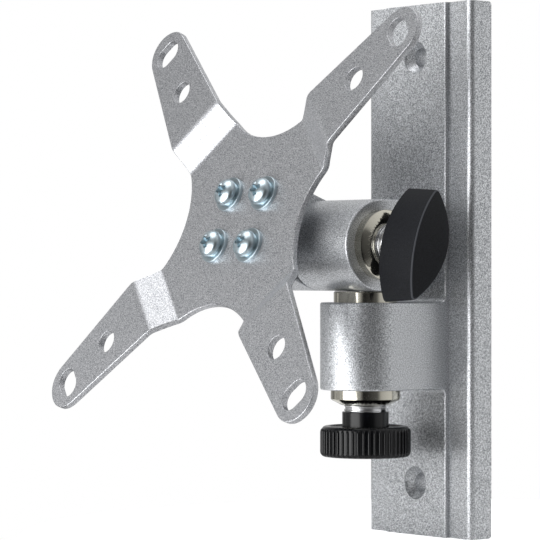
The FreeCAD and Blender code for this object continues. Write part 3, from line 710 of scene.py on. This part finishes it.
knob_ribs, sizes = start_geometry("ribbed_rim", {
    "Count": knob_rib_count, "Rib Radius": knob_rib_radius * MM, "Root Radius": knob_root_radius * MM,
    "Rib Length": knob_height * MM, "End Round": knob_bottom_round * MM,
    "Rib Middle": (0.0, 0.0, 0.0), "Centre": (0.0, 0.0, 0.0), "Material": black_nylon})
loop = add_node(knob_ribs, "GeometryNodeCurvePrimitiveQuadrilateral", {
    "Width": sizes["Rib Length"], "Height": sizes["Rib Length"]})
rounded = add_node(knob_ribs, "GeometryNodeFilletCurve", {
    "Curve": loop.outputs[0], "Radius": sizes["End Round"], "Count": rib_corner_steps}, mode="POLY")
rib_section = add_node(knob_ribs, "GeometryNodeCurvePrimitiveCircle", {
    "Resolution": knob_rib_sides, "Radius": sizes["Rib Radius"]})
rib = add_node(knob_ribs, "GeometryNodeCurveToMesh", {
    "Curve": rounded.outputs[0], "Profile Curve": rib_section.outputs[0]})
half_rib = add_node(knob_ribs, "ShaderNodeMath", {0: sizes["Rib Length"], 1: -0.5},
                    operation="MULTIPLY")
reach = add_node(knob_ribs, "ShaderNodeMath", {0: sizes["Root Radius"], 1: half_rib.outputs[0]},
                 operation="ADD")
rib_place = add_node(knob_ribs, "ShaderNodeCombineXYZ", {"X": reach.outputs[0]})
stood = add_node(knob_ribs, "GeometryNodeTransform", {
    "Geometry": rib.outputs[0], "Translation": rib_place.outputs[0], "Rotation": (quarter_turn, 0, 0)})
spots = add_node(knob_ribs, "GeometryNodePoints", {
    "Count": sizes["Count"], "Position": sizes["Rib Middle"]})
index = add_node(knob_ribs, "GeometryNodeInputIndex")
share = add_node(knob_ribs, "ShaderNodeMath", {0: index.outputs[0], 1: sizes["Count"]},
                 operation="DIVIDE")
angle = add_node(knob_ribs, "ShaderNodeMath", {0: share.outputs[0], 1: 2 * math.pi},
                 operation="MULTIPLY")
facing = add_node(knob_ribs, "ShaderNodeCombineXYZ", {"Z": angle.outputs[0]})
ribs = add_node(knob_ribs, "GeometryNodeInstanceOnPoints", {
    "Points": spots.outputs[0], "Instance": stood.outputs[0], "Rotation": facing.outputs[0]})
whole = add_node(knob_ribs, "GeometryNodeJoinGeometry")
knob_ribs.links.new(sizes["Geometry"], whole.inputs[0])
knob_ribs.links.new(ribs.outputs[0], whole.inputs[0])
placed = add_node(knob_ribs, "GeometryNodeTransform", {
    "Geometry": whole.outputs[0], "Translation": sizes["Centre"]})
end_geometry(knob_ribs, placed.outputs[0], sizes["Material"])

knob_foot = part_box("clamp_knob")[0].z
run_geometry(clamp_knob, knob_ribs, {
    "Count": knob_rib_count, "Rib Radius": knob_rib_radius * MM, "Root Radius": knob_root_radius * MM,
    "Rib Length": (rib_top - rib_bottom) * MM, "End Round": rib_end_round * MM,
    "Rib Middle": Vector((0, 0, (rib_top + rib_bottom) / 2 * MM)),
    "Centre": Vector((post_axis.x, post_axis.y, knob_foot)), "Material": black_nylon}, sharp_angle=35)
finish_piece(clamp_knob, ["clamp_knob"], "clamp_handle", black_nylon)


# The wing knob is moulded in black nylon with a fine spark-eroded grain that makes it matte. The rounded edge
# between its flanks and its end is painted paler, a painted highlight along the crest.
wing_grain = 0.2 * MM
wing_grain_depth = 0.04 * MM
wing_grain_darkest = 0.3
wing_grain_palest = 0.7
wing_edge_radius = 0.35 * MM
wing_edge_angle = 28
matte_nylon, tree, place = start_material("black_grained_nylon")
mottle = add_node(tree, "ShaderNodeTexNoise", {
    "Vector": place, "Scale": 1 / wing_grain, "Detail": 2.0})
spread = add_node(tree, "ShaderNodeMapRange", {
    "Value": mottle.outputs["Fac"], "From Min": wing_grain_darkest, "From Max": wing_grain_palest})
shade = add_node(tree, "ShaderNodeMix", {
    0: spread.outputs[0], 6: linear("#030407"), 7: linear("#1D1F24")}, data_type="RGBA")
# Painted highlight: where the object-space normal turns between a flank and the end, the colour is mixed
# toward pale grey, as if light caught the crest.
facing = add_node(tree, "ShaderNodeTexCoord").outputs["Normal"]
outwards = add_node(tree, "ShaderNodeSeparateXYZ", {"Vector": facing}).outputs["X"]
highlight_from_flank = add_node(tree, "ShaderNodeMapRange", {
    "Value": outwards, "From Min": 0.4, "From Max": 0.6})
highlight_before_end = add_node(tree, "ShaderNodeMapRange", {
    "Value": outwards, "From Min": 0.68, "From Max": 0.88, "To Min": 1.0, "To Max": 0.0})
painted_highlight_mask = add_node(tree, "ShaderNodeMath", {0: highlight_from_flank.outputs[0], 1: highlight_before_end.outputs[0]},
                  operation="MULTIPLY")
with_painted_highlight = add_node(tree, "ShaderNodeMix", {
    0: painted_highlight_mask.outputs[0], 6: shade.outputs[2], 7: linear("#494B50")}, data_type="RGBA")
relief = add_node(tree, "ShaderNodeBump", {
    "Height": mottle.outputs["Fac"], "Strength": 0.6, "Distance": wing_grain_depth})
surface = add_node(tree, "ShaderNodeBsdfPrincipled", {
    "Base Color": with_painted_highlight.outputs[2], "Roughness": 0.62, "Specular IOR Level": 0.18,
    "Normal": relief.outputs[0]})
add_node(tree, "ShaderNodeOutputMaterial", {"Surface": surface.outputs[0]})
wing_knob = smooth_copy("wing_knob", "wing_knob_moulded", sharp_angle=55)
round_edges(wing_knob, "crest", wing_edge_radius, wing_edge_angle)
finish_piece(wing_knob, ["wing_knob"], "wing_handle", matte_nylon)
